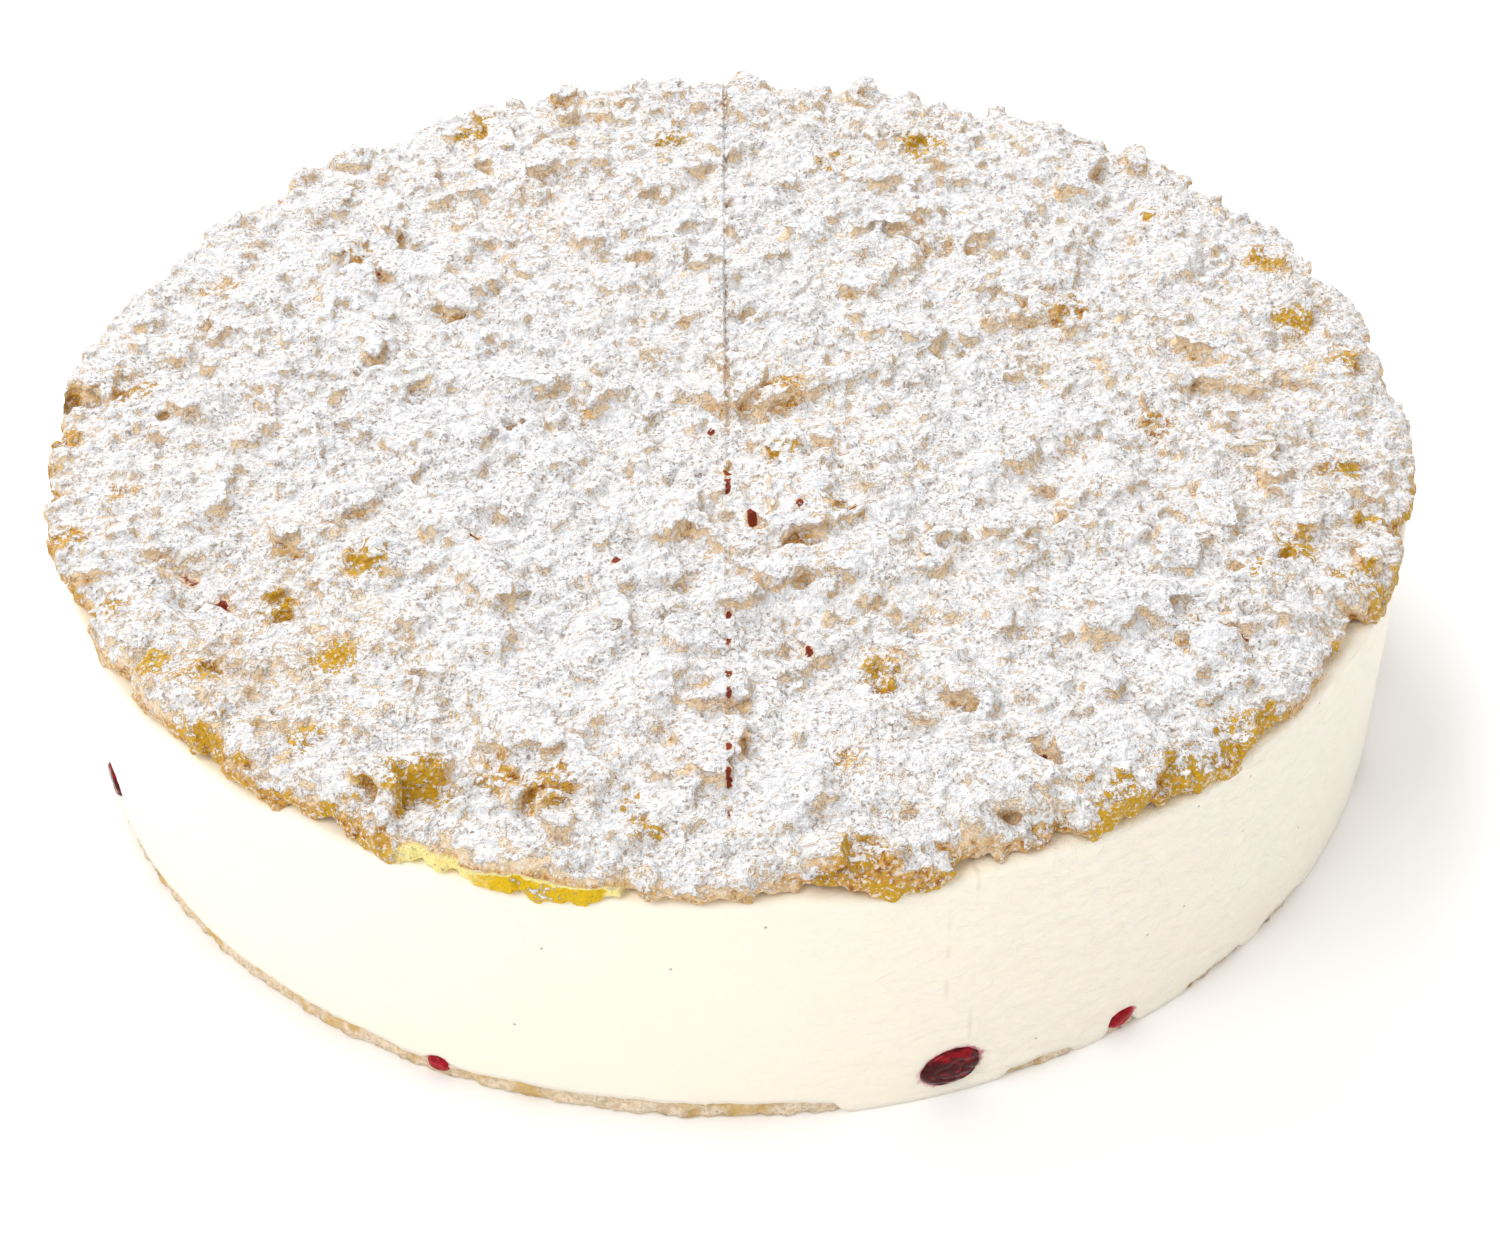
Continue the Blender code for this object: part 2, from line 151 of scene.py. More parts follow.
# %% [markdown]
# ## Writing materials as sums
# A material is a small calculation done at every point of a surface. Nodes can be wired one by one,
# but sums read more easily as Python, so a Value wraps a node's output, and each operator on it
# adds the Math node that does it.

# %% Values and finishes


def colour(red, green, blue):
    """A colour as seen on a screen, 0 to 255, turned into light."""
    def light(value):
        value /= 255.0
        return value / 12.92 if value <= 0.04045 else ((value + 0.055) / 1.055) ** 2.4

    return (light(red), light(green), light(blue), 1)


class Value:
    """A number, colour or vector of a material, which Python can calculate with."""

    def __init__(self, finish, socket):
        self.finish = finish
        self.socket = socket

    def maths(self, operation, *values):
        return self.finish.node("Math", {"operation": operation}, dict(enumerate(values)))

    def __add__(self, other):
        return self.maths("ADD", self, other)

    def __mul__(self, other):
        return self.maths("MULTIPLY", self, other)

    def __sub__(self, other):
        return self.maths("SUBTRACT", self, other)

    def __rsub__(self, other):
        return self.maths("SUBTRACT", other, self)

    def over(self, low, high):
        """0 up to low, 1 from high on, and smooth between."""
        limits = {"Value": self, "From Min": low, "From Max": high}
        return self.finish.node("MapRange", {"interpolation_type": "SMOOTHSTEP"}, limits)



class Finish:
    """A material under construction, around one Principled shader."""

    def __init__(self, name, roughness):
        self.material = bpy.data.materials.new(name)
        self.material.use_nodes = True
        self.tree = self.material.node_tree
        self.shader = self.tree.nodes["Principled BSDF"]
        self.shader.inputs["Roughness"].default_value = roughness
        self.place = self.node("TexCoord", output="Object")

    def node(self, kind, settings=None, sockets=None, output=0):
        """Adds a shader node: its settings first, then its sockets' values or links."""
        made = self.tree.nodes.new("ShaderNode" + kind)
        for name, value in (settings or {}).items():
            setattr(made, name, value)
        for name, value in (sockets or {}).items():
            self.feed(made.inputs[name], value)
        return Value(self, made.outputs[output])

    def feed(self, entry, value):
        if isinstance(value, Value):
            self.tree.links.new(value.socket, entry)
        else:
            entry.default_value = value

    def set(self, **values):
        """Sets or links the shader's sockets; underscores stand for spaces."""
        for name, value in values.items():
            self.feed(self.shader.inputs[name.replace("_", " ")], value)

    def grain(self, pitch, detail=2, rough=0.5, warp=0, place=None):
        """Soft noise around 0.5, with bumps about a pitch in mm apart."""
        sockets = {"Vector": place or self.place, "Scale": 1 / (pitch * MM), "Detail": detail,
                   "Roughness": rough, "Distortion": warp}
        return self.node("TexNoise", None, sockets)

    def cells(self, pitch, output="Distance"):
        """Distance to, or colour of, scattered points about a pitch in mm apart."""
        sockets = {"Vector": self.place, "Scale": 1 / (pitch * MM)}
        return self.node("TexVoronoi", None, sockets, output)

    def painted(self, name):
        """A number that the mesh carries at its points."""
        return self.node("Attribute", {"attribute_name": name}, output="Fac")

    def blend(self, share, *colours):
        """A colour between two others; numbers are as seen on a screen."""
        first, second = (colour(*tone) if isinstance(tone, tuple) else tone for tone in colours)
        sockets = {"Factor": share, 6: first, 7: second}
        return self.node("Mix", {"data_type": "RGBA"}, sockets, 2)

    def coats(self, below, *layers):
        """A colour under coats, each with its share and colour."""
        for share, above in layers:
            below = self.blend(share, below, above)
        return below

    def relief(self, height, distance):
        """A bumped normal from a height of 0 to 1 that stands for a distance."""
        sockets = {"Height": height, "Distance": distance, "Strength": 1.0}
        return self.node("Bump", None, sockets, "Normal")


print("grey 128 is", round(colour(128, 128, 128)[0], 3), "of white light")

# %% [markdown]
# ## Small tools for food
# Nothing in food is regular, so most shapes start plain and are then pushed about by noise, which a
# fixed seed keeps the same each time. The helpers read a mesh's points as one array, move them all
# at once, and turn a mesh into a finished piece.

# %% Mesh helpers


def add_object(name, mesh):
    """An object at the origin from a bmesh, which is freed."""
    data = bpy.data.meshes.new(name)
    mesh.to_mesh(data)
    mesh.free()
    return link(name, data)


def merged_copy(node):
    """A bmesh of a frame node with its loose triangles joined."""
    mesh = bmesh.new()
    mesh.from_mesh(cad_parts[node].data)
    bmesh.ops.remove_doubles(mesh, verts=mesh.verts, dist=0.001 * MM)
    return mesh


def apply_modifiers(piece):
    """The piece's mesh becomes what its modifiers make of it."""
    bpy.context.view_layer.update()
    seen = piece.evaluated_get(bpy.context.evaluated_depsgraph_get())
    finished = bpy.data.meshes.new_from_object(seen)
    piece.modifiers.clear()
    piece.data = finished


def rows_of(items, name):
    """A vector of each of a mesh's items, as rows of x, y, z."""
    flat = np.empty(3 * len(items), np.float32)
    items.foreach_get(name, flat)
    return flat.reshape(-1, 3).astype(float)


def points_of(data):
    return rows_of(data.vertices, "co")


def normals_of(data):
    return rows_of(data.vertex_normals, "vector")


def move_points(data, points):
    data.vertices.foreach_set("co", points.astype(np.float32).ravel())
    data.update()


def paint(data, name, values):
    """Stores a number at each point for a material."""
    layer = data.attributes.new(name, "FLOAT", "POINT")
    layer.data.foreach_set("value", values.astype(np.float32))


def bumps(points, pitch, seed):
    """Noise from -1 to 1 at each point, with bumps about a pitch in mm apart."""
    places = (points / (pitch * MM) + seed).tolist()
    return np.array([noise.noise(place) for place in places])


def rough(points, layers):
    """Noise of several sizes added up: height and pitch in mm and seed of each."""
    return sum(height * MM * bumps(points, pitch, seed) for height, pitch, seed in layers)


def over(values, low, high):
    """0 up to low, 1 from high on, and smooth between."""
    share = np.clip((values - low) / (high - low), 0, 1)
    return share * share * (3.0 - 2.0 * share)


def angle_of(points):
    """Angles in degrees from the front, -Y, towards +X."""
    return np.degrees(np.arctan2(points[:, 0], -points[:, 1]))


def reach_of(points):
    return np.hypot(points[:, 0], points[:, 1])


def away(points, x, y, squeeze=1):
    """Distance in mm from a place, seen from above; along Y it may count for less."""
    return np.hypot(points[:, 0] - x * MM, squeeze * (points[:, 1] - y * MM)) / MM


def between(angles, first, last, soft=1.5):
    """1 between two angles, falling to 0 over a few degrees at both ends."""
    return over(angles, first - soft, first + soft) * (1 - over(angles, last - soft, last + soft))


def finish_piece(piece, finish, slot, *nodes):
    """The piece gets its material, rides on the torte and replaces nodes."""
    piece.data.materials.clear()
    piece.data.materials.append(finish)
    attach(piece, "root")
    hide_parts(*nodes)
    size = np.ptp(points_of(piece.data), 0) / MM
    print(piece.name, len(piece.data.polygons), "faces,", size.round(1), "mm")


# %% [markdown]
# ## The floor
# The torte stands on a plain pale floor, which is stage and not part of it. One large square is
# enough, but even a floor looks more like paper with a faint grain.

# %% Floor
FLOOR_SIZE = 12.0


def add_floor():
    finish = Finish("pale_paper", 0.7)
    finish.set(Base_Color=finish.blend(finish.grain(40, 3), (252, 252, 252), (255, 255, 255)))
    mesh = bmesh.new()
    bmesh.ops.create_grid(mesh, x_segments=1, y_segments=1, size=0.5 * FLOOR_SIZE)
    floor = add_object("floor", mesh)
    floor.data.materials.append(finish.material)


add_floor()
print("floor", FLOOR_SIZE, "m wide")

# %% [markdown]
# ## The rubble of flakes
# The real topping is baked pastry broken by hand: slabs up to 3 cm, then flakes, then crumbs, all
# lying on each other. A simulation could drop loose pieces, but slowly. Here the frame's solid
# gives the large slabs, and each round of smaller flakes is laid on what lies there already. A
# voxel remesh then fuses everything into one skin with soft joints.

# %% Shapes of single flakes
SEED = 28
KINDS = 7
BROKEN_EDGE = 0.22
CURL_TURNS = (2.4, 4.2)
SLAB_PUSH, LUMP_PUSH, CURL_PUSH = 0.07, 0.10, 0.04


def slab_flake():
    """A flat torn piece: a box with broken edges and pushed corners."""
    mesh = bmesh.new()
    bmesh.ops.create_cube(mesh, size=1)
    bmesh.ops.bevel(
        mesh, geom=list(mesh.edges), affect="EDGES", offset=BROKEN_EDGE, segments=2, profile=0.5,
        material=-1,
    )
    return mesh


def lump_flake():
    """A round crumb."""
    mesh = bmesh.new()
    bmesh.ops.create_icosphere(mesh, subdivisions=1, radius=0.55)
    return mesh


def curl_flake(draw):
    """A strip that curled up while it baked, lying like an arc."""
    mesh = bmesh.new()
    bmesh.ops.create_grid(mesh, x_segments=1, y_segments=1, size=0.5)
    section = Matrix.Translation((0.36, 0, 0)) @ Matrix.Diagonal((0.24, 0.8, 1, 1))
    section = Matrix.Rotation(math.pi / 2, 4, "X") @ section
    bmesh.ops.transform(mesh, matrix=section, verts=mesh.verts)
    bmesh.ops.spin(
        mesh, geom=[*mesh.verts, *mesh.edges, *mesh.faces], axis=(0, 0, 1),
        cent=(0, 0, 0), angle=draw.uniform(*CURL_TURNS), steps=6, use_duplicate=False,
    )
    bmesh.ops.recalc_face_normals(mesh, faces=mesh.faces)
    return mesh


def shape_arrays(mesh, draw, push):
    """Points and triangles of a flake, a little pushed about."""
    for vert in mesh.verts:
        vert.co += Vector([draw.uniform(-push, push) for _ in range(3)])
    bmesh.ops.triangulate(mesh, faces=mesh.faces)
    mesh.verts.index_update()
    points = np.array([vert.co for vert in mesh.verts])
    faces = np.array([[vert.index for vert in face.verts] for face in mesh.faces])
    mesh.free()
    return points, faces


draw = random.Random(SEED)
slabs = [shape_arrays(slab_flake(), draw, SLAB_PUSH) for _ in range(KINDS)]
lumps = [shape_arrays(lump_flake(), draw, LUMP_PUSH) for _ in range(KINDS)]
curls = [shape_arrays(curl_flake(draw), draw, CURL_PUSH) for _ in range(KINDS)]
print("triangles in a slab, lump, curl:", [len(kind[0][1]) for kind in (slabs, lumps, curls)])

# %% Laying flakes
RIM_MARGIN = 1.5 * MM
STEEPEST = 0.2
RAY_START = 0.2
# How closely a flake follows the slope it lies on
LIE_SHARE = 0.6


def flake_pose(place, normal, draw, tilt):
    """A pose on a surface: turned anyhow and tilted a little off its slope."""
    lie = facing(Vector((0, 0, 1)).lerp(normal, LIE_SHARE))
    spin = Matrix.Rotation(draw.uniform(0, math.tau), 4, "Z")
    lean = Matrix.Rotation(draw.uniform(-tilt, tilt), 4, "X")
    lean = lean @ Matrix.Rotation(draw.uniform(-tilt, tilt), 4, "Y")
    return Matrix.Translation(place) @ lie @ spin @ lean


def posed(shape, size, pose):
    """A flake's points at its real size and place."""
    points, faces = shape
    pose = np.array(pose)
    return (points * np.array(size)) @ pose[:3, :3].T + pose[:3, 3], faces


def joined(shapes):
    """One mesh from many points-and-faces pairs."""
    starts = np.cumsum([0] + [len(points) for points, _ in shapes[:-1]])
    points = np.concatenate([points for points, _ in shapes])
    faces = np.concatenate([faces + start for (_, faces), start in zip(shapes, starts)])
    data = bpy.data.meshes.new("joined flakes")
    data.from_pydata(points, [], faces)
    return data


def surface_at(tree, x, y):
    """The highest point of a surface at x, y, and its normal."""
    place, normal, _, _ = tree.ray_cast(Vector((x, y, RAY_START)), Vector((0, 0, -1)))
    return place, normal


def lay(tree, draw, count, kinds, sizes, sink, tilt):
    """Flakes strewn evenly over a surface; sizes are the least and most length."""
    made = []
    for _ in range(count):
        radius = RADIUS * math.sqrt(draw.uniform(0, 1)) - RIM_MARGIN
        angle = draw.uniform(0, math.tau)
        place, normal = surface_at(tree, radius * math.sin(angle), -radius * math.cos(angle))
        length = sizes[0] + (sizes[1] - sizes[0]) * draw.random() ** 2
        shape, flatness, breadth = draw.choice(kinds)
        width = length * breadth * draw.uniform(0.8, 1.2)
        height = length * flatness * draw.uniform(0.8, 1.25)
        if place is None or normal.z < STEEPEST:
            continue
        place = place + Vector((0, 0, (0.5 - sink) * height))
        pose = flake_pose(place, normal, draw, tilt)
        made.append(posed(draw.choice(shape), (length, width, height), pose))
    return made


print("flakes up to", round((RADIUS - RIM_MARGIN) / MM, 1), "mm from the middle")

# %% [markdown]
# ## Broad forms first
# The large forms come first: the frame's solid, its hard facets melted by a coarse voxel skin.
# Places that stand out on the real torte are then laid one by one: single bars and slabs that show
# their baked side, and hollows between them.

# %% The heap
COARSE_VOXEL = 1.5 * MM
FINE_VOXEL = 0.62 * MM
# Single flakes: x, y, length, width, height in mm, then turn and tilt in degrees
NAMED_FLAKES = (
    (106, 3, 17, 5.5, 4.5, -4, 8), (126, 3, 10, 6, 4.5, -2, 8), (78, 33, 20, 5, 4, -3, 10),
    (27, -89, 16, 7, 4.5, 20, 22), (30, -117, 20, 15, 5, 6, 10), (45, -119, 10, 13, 5, 14, 8),
    (66, -110, 20, 14, 5, 30, 10), (14, 1, 18, 5, 4.5, 25, 15), (10, -45, 8, 5, 4, 70, 20),
    (88, -14, 15, 6, 4, -20, 15), (-57, -111, 15, 8, 6, 10, -18), (99, -66, 14, 8, 4.5, 40, 14),
    (-18, -60, 18, 9, 4, 15, 12), (-95, -72, 22, 10, 5, -35, 8), (-134, 9, 9, 7, 6, 10, 0),
    (-120, 2, 12, 8, 5, 60, 10), (60, 44, 18, 7, 4.5, 15, 12), (-70, 50, 16, 9, 4.5, -20, 12),
)
# Hollows: x, y, reach and depth in mm
NAMED_HOLLOWS = (
    (-54, -119, 8, 3.2), (-74, -82, 6, 2.4), (-1, -30, 5, 2.6), (-4, -6, 6, 2.2), (13, -50, 5, 1.8),
    (48, -124, 4, 3), (57, -112, 3.5, 2),
)
# Furrows, or ridges if the depth is negative: both ends, reach and depth in mm
NAMED_FURROWS = (
    ((-114, -46), (-99, -64), 9, 3.4), ((-99, -64), (-84, -90), 9, 3.2),
    ((-114, -66), (-96, -92), 9, -2.2), ((28, -102), (48, -126), 3, 2.2), ((-60, 20), (-20, 26), 8, 1.6),
    ((20, -70), (70, -84), 7, 1.6), ((-100, 30), (-70, 70), 8, 1.6), ((40, 60), (90, 44), 8, 1.4),
)


def named_flakes(tree, draw):
    """The single flakes that stand out, laid one by one from a list."""
    made = []
    for x, y, length, width, height, turn, tilt in NAMED_FLAKES:
        place, _ = surface_at(tree, x * MM, y * MM)
        pose = Matrix.Translation(place + Vector((0, 0, 0.1 * height * MM)))
        pose = pose @ Matrix.Rotation(turn * DEGREE, 4, "Z") @ Matrix.Rotation(tilt * DEGREE, 4, "X")
        made.append(posed(draw.choice(slabs), (length * MM, width * MM, height * MM), pose))
    return made


def voxel_skin(piece, voxel, rounds):
    """One closed skin round everything in a piece, smoothed a few rounds."""
    skin = piece.modifiers.new("skin", "REMESH")
    skin.mode = "VOXEL"
    skin.voxel_size = voxel
    if rounds:
        soft = piece.modifiers.new("soft", "SMOOTH")
        soft.factor = 0.5
        soft.iterations = rounds
    apply_modifiers(piece)
    return piece


# Broad unevenness of the heap: height and pitch in mm, and seed
HEAP_SWELLS = ((1.2, 11, 3), (0.6, 5, 8))
MAP_CELL = 0.8 * MM
MAP_SIDE = 400
MAP_LOWEST = CREAM_TOP + 5.5 * MM


def from_line(points, start, end):
    """Distance, seen from above, from a line between two places in mm."""
    start, end = np.array(start) * MM, np.array(end) * MM
    way = end - start
    share = np.clip((points[:, :2] - start) @ way / (way @ way), 0, 1)
    return np.linalg.norm(points[:, :2] - start - share[:, None] * way, axis=1)


def height_map(points):
    """The highest point in each cell of a grid seen from above, and each point's cell."""
    cells = tuple((points[:, :2] / MAP_CELL + MAP_SIDE / 2).astype(int).T)
    field = np.full((MAP_SIDE, MAP_SIDE), MAP_LOWEST)
    field[cells] = 0.0
    np.maximum.at(field, cells, points[:, 2])
    return field, cells


def blurred(field, spread):
    """The field with everything finer than the spread smoothed away."""
    pitch = np.fft.fftfreq(MAP_SIDE, MAP_CELL)
    window = np.exp(-2.0 * (math.pi * spread * pitch) ** 2)
    return np.fft.ifft2(np.fft.fft2(field) * window[:, None] * window[None, :]).real


def start_heap():
    """The frame's flake solid, softened, with broad swells and the named hollows."""
    heap = voxel_skin(add_object("heap", merged_copy("flake_layer")), COARSE_VOXEL, 4)
    points, normals = points_of(heap.data), normals_of(heap.data)
    upward = over(normals[:, 2], 0, 0.5)
    rise = rough(points, HEAP_SWELLS)
    for x, y, reach, depth in NAMED_HOLLOWS:
        rise -= depth * MM * (1 - over(away(points, x, y) / reach, 0, 1.3))
    for start, end, reach, depth in NAMED_FURROWS:
        rise -= depth * MM * (1 - over(from_line(points, start, end) / (reach * MM), 0, 1))
    field, cells = height_map(points)
    around_cut = blurred(field, 5 * MM)[cells]
    in_cut = np.abs(points[:, 0] - KNIFE_X) < 2 * MM
    in_cut &= points[:, 2] > CREAM_TOP + MM
    points[:, 2] = np.where(in_cut, np.maximum(points[:, 2], around_cut), points[:, 2])
    points[:, 2] += upward * rise
    move_points(heap.data, points)
    return heap


heap = start_heap()
print("heap", len(heap.data.polygons), "faces of", COARSE_VOXEL / MM, "mm")

# %% [markdown]
# ## Flakes on flakes
# The second size of flake, 6 to 15 mm, breaks up the slabs, and the third, 2.5 to 6.5 mm, fills
# their joints. Crumbs come last and make the surface look dry and broken. Every round asks a search
# tree where the surface is, so that each flake lies on what came before it.

# %% Three rounds of flakes
RIM_SPAN = (-1 * MM, 6.5 * MM)
# Kinds of flake in each round: shape, height and width as shares of the length
MEDIUM_KINDS = ((slabs, 0.30, 0.62), (slabs, 0.30, 0.42), (lumps, 0.42, 0.7), (curls, 0.36, 0.9))
SMALL_KINDS = ((slabs, 0.45, 0.62), (lumps, 0.6, 0.8), (lumps, 0.5, 0.6), (curls, 0.45, 0.9))
CRUMB_KINDS = ((lumps, 0.8, 0.85), (slabs, 0.6, 0.75))
# Rounds: how many, their kinds, least and most length, share sunk in, and tilt in radians
MEDIUM_FLAKES = (460, MEDIUM_KINDS, (6 * MM, 15 * MM), 0.42, 0.42)
SMALL_FLAKES = (1300, SMALL_KINDS, (2.5 * MM, 6.5 * MM), 0.36, 0.6)
FINE_CRUMBS = (4200, CRUMB_KINDS, (1.1 * MM, 2.6 * MM), 0.25, 1)
RIM_FLAKES = (500, SMALL_KINDS, (2.5 * MM, 5.5 * MM), 0.45)
RIM_CRUMBS = (1800, CRUMB_KINDS, (1.2 * MM, 2.6 * MM), 0.35)


def as_arrays(data):
    data.calc_loop_triangles()
    faces = np.empty(3 * len(data.loop_triangles), np.int32)
    data.loop_triangles.foreach_get("vertices", faces)
    return points_of(data), faces.reshape(-1, 3)


def tree_of(shapes):
    """A search tree over points-and-faces pairs."""
    data = joined(shapes)
    points, faces = as_arrays(data)
    bpy.data.meshes.remove(data)
    return BVHTree.FromPolygons(points.tolist(), faces.tolist())


def lay_on_rim(tree, draw, count, kinds, sizes, sink):
    """Flakes stuck to the sides of the layer, found by rays from outside."""
    made = []
    for _ in range(count):
        angle = draw.uniform(0, math.tau)
        outwards = Vector((math.sin(angle), -math.cos(angle), 0))
        start = outwards * (1.2 * RADIUS)
        start.z = CREAM_TOP + draw.uniform(*RIM_SPAN)
        length = draw.uniform(*sizes)
        shape, flatness, breadth = draw.choice(kinds)
        place, normal, _, _ = tree.ray_cast(start, -outwards, 0.12)
        if place is None or normal.dot(outwards) < STEEPEST:
            continue
        size = (length, length * breadth, length * flatness)
        place = place + normal * (0.5 - sink) * size[2]
        pose = Matrix.Translation(place) @ facing(normal)
        pose = pose @ Matrix.Rotation(draw.uniform(0, math.tau), 4, "Z")
        made.append(posed(draw.choice(shape), size, pose))
    return made


def pile_up():
    """All rounds of flakes, as one mesh of crossing shells."""
    shapes = [as_arrays(heap.data)]
    tree = tree_of(shapes)
    shapes += named_flakes(tree, draw)
    shapes += lay(tree, draw, *MEDIUM_FLAKES)
    tree = tree_of(shapes)
    shapes += lay(tree, draw, *SMALL_FLAKES) + lay_on_rim(tree, draw, *RIM_FLAKES)
    tree = tree_of(shapes)
    shapes += lay_on_rim(tree, draw, *RIM_CRUMBS) + lay(tree, draw, *FINE_CRUMBS)
    return joined(shapes)


shells = pile_up()
bpy.data.objects.remove(heap, do_unlink=True)
layer = voxel_skin(link("flake_layer_skin", shells), FINE_VOXEL, 1)
print("fused skin", len(layer.data.polygons), "faces of", FINE_VOXEL / MM, "mm")

# %% [markdown]
# ## Sugar needs to know the relief
# Icing sugar falls straight down. It lies on whatever faces up, thins out on slopes, and misses
# what is under an edge or deep in a crack, where baked gold and dark juice show. In cracks the gold
# is also painted darker, as their shade. So the relief is measured: a map of heights from above,
# and blurred copies to compare with.

# %% Fine relief and the knife cut
KNIFE_HALF = 0.6 * MM
UNDERSIDE = CREAM_TOP + 1.2 * MM
FAINT_CUT_ANGLE = -22.5
FAINT_CUT_DEPTH = 1 * MM
FRONT_CUT_DEPTH, CUT_DEEPENS = 0.7 * MM, 0.9 * MM
SKIN_GRIT = ((0.22, 1.4, 7), (0.18, 2.6, 19))
TOP_KNEE = 2.5 * MM
OVERHANG_LOST = 0.65
INSET = 0.02 * MM


def cut_depth(points):
    """How far the knife pressed the flakes down, in metres."""
    wobble = 0.25 * MM * bumps(points, 9, 41)
    across = np.abs(points[:, 0] - KNIFE_X + wobble)
    patchy = 0.65 + 0.35 * bumps(points, 12, 17)
    deepest = FRONT_CUT_DEPTH + CUT_DEEPENS * over(points[:, 1], -20 * MM, 10 * MM)
    depth = deepest * patchy * (1 - over(across, 0.3 * KNIFE_HALF, 1.1 * KNIFE_HALF))
    turn = FAINT_CUT_ANGLE * DEGREE
    across = np.abs(points[:, 0] * math.cos(turn) + points[:, 1] * math.sin(turn) + wobble)
    faint = over(bumps(points, 16, 23), -0.25, 0.35)
    return depth + FAINT_CUT_DEPTH * faint * (1 - over(across, 0.3 * KNIFE_HALF, 1.3 * KNIFE_HALF))


def roughen(data):
    """Folds and grain too small for the flakes' shapes, strongest on top."""
    points, normals = points_of(data), normals_of(data)
    upward = over(normals[:, 2], 0.1, 0.7)
    warped = points + 1.2 * MM * bumps(points, 6, 30)[:, None]
    folds = 0.5 - np.abs(bumps(warped * (1, 1.6, 1), 5, 11))
    swell = 0.45 * MM * folds + 0.20 * MM * bumps(points, 2.4, 5)
    grit = rough(points, SKIN_GRIT)
    points += normals * (upward * swell + grit)[:, None]
    field, cells = height_map(points)
    room = blurred(field, 2 * MM)[cells] - UNDERSIDE
    points[:, 2] -= cut_depth(points) * np.clip((points[:, 2] - UNDERSIDE) / room, 0, 1.2)
    overhang = np.maximum(reach_of(points) - RADIUS - 0.3 * MM, 0)
    points[:, :2] *= (1 - OVERHANG_LOST * overhang / reach_of(points))[:, None]
    ceiling = flakes_high.z - 0.3 * MM - TOP_KNEE
    high = np.maximum(points[:, 2] - ceiling, 0)
    points[:, 2] += TOP_KNEE * np.tanh(high / TOP_KNEE) - high
    points = np.clip(points, np.array(flakes_low) + INSET, np.array(flakes_high) - INSET)
    move_points(data, points)


roughen(layer.data)
print("skin reaches", (points_of(layer.data).max(0) / MM).round(1), "mm")

# %% Where sugar, gold and juice go
# Where the rim shows its baked side: first and last angle, and how golden
GOLDEN_RIM = (
    (-46, -33.5, 1), (-31.5, -24.5, 0.9), (5.5, 16, 0.9), (26, 45, 0.95), (60, 80, 0.6),
    (-100, -62, 0.45), (110, 135, 0.7), (150, 178, 0.5), (-175, -150, 0.8),
)
YELLOW_RIM = (-24.5, -8)
SUGARED_RIM = ((-8.5, 5.5), (16.5, 25.5), (46, 60))
# Where sugar lies thicker or thinner: x, y and reach in mm, and how much
SUGAR_REGIONS = (
    (-55, -10, 55, 0.16), (-20, -70, 30, 0.08), (30, 55, 30, 0.08), (75, -75, 28, 0.10),
    (-90, -95, 32, -0.22), (-120, -20, 30, -0.12), (5, -5, 18, -0.16), (118, -10, 34, -0.14),
    (15, -45, 14, -0.12), (-74, -70, 14, -0.14), (-30, 118, 30, -0.10),
)
# Patches of bare golden flake: x, y and reach in mm, and how yellow
GOLD_PATCHES = (
    (-55, -115, 7.5, 1), (22, -135, 6, 0.3), (79, -114, 6, 0.9), (68, -120, 5, 0.9), (-74, -81, 5.5, 0.9),
    (-95, -104, 6, 0.5), (90, -104, 7, 0.8), (99, 69, 6, 0.7), (-106, -85, 5, 0.8), (125, -46, 4.5, 0.6),
    (-15, -128, 4.5, 0.5), (-76, -104, 5.5, 0.5), (122, 23, 6, 0.6), (122, -31, 6, 0.5),
    (118, -65, 6, 0.6), (47, 102, 7, 0.7), (-42, -115, 6, 0.4), (85, -75, 4, 0.5), (0, -26, 4, 0.8),
    (129, 5, 5, 0.4), (-62, 112, 7, 0.7), (114, -82, 4.5, 0.6), (121, 49, 6, 0.5), (109, -55, 6, 0.7),
    (22, -40, 4, 0.3), (-117, -66, 5, 0.5), (-130, -46, 5, 0.4), (-32, -119, 7, 0.4), (12, 1, 5, 0.3),
    (-137, -12, 5, 0.2), (-114, 45, 6, 0.2), (-14, 110, 6, 0.6), (-97, -88, 5, 0.4), (20, -112, 4, 0.4),
    (-86, -66, 5, 0.5), (-70, -54, 6, 0.5), (27, -90, 6, 0.4), (11, -22, 5, 0.5), (-122, -29, 4, 0.3),
    (-38, 105, 5, 0.5), (-124, 2, 6, 0.4), (74, 31, 6, 0.2), (26, 98, 6, 0.4), (88, -14, 6, 0.1),
    (-84, 57, 5, 0.1), (101, -63, 5, 0.6), (-17, -122, 5, 0.5), (-50, -49, 4, 0.2),
)
# Where juice shows between the flakes: x, y in mm
JUICE_PLACES = (
    (-50, -48.5), (-0.7, -31), (4, -42), (13.5, -42), (14, -85), (-22, -58), (-4, -12), (94, -82),
    (24, -40), (-0.7, -27),
)
# Red dots along the cut: y in mm
CUT_DOTS = (-33, -72, -80, -92, -97, -101, -112, -118, -124)


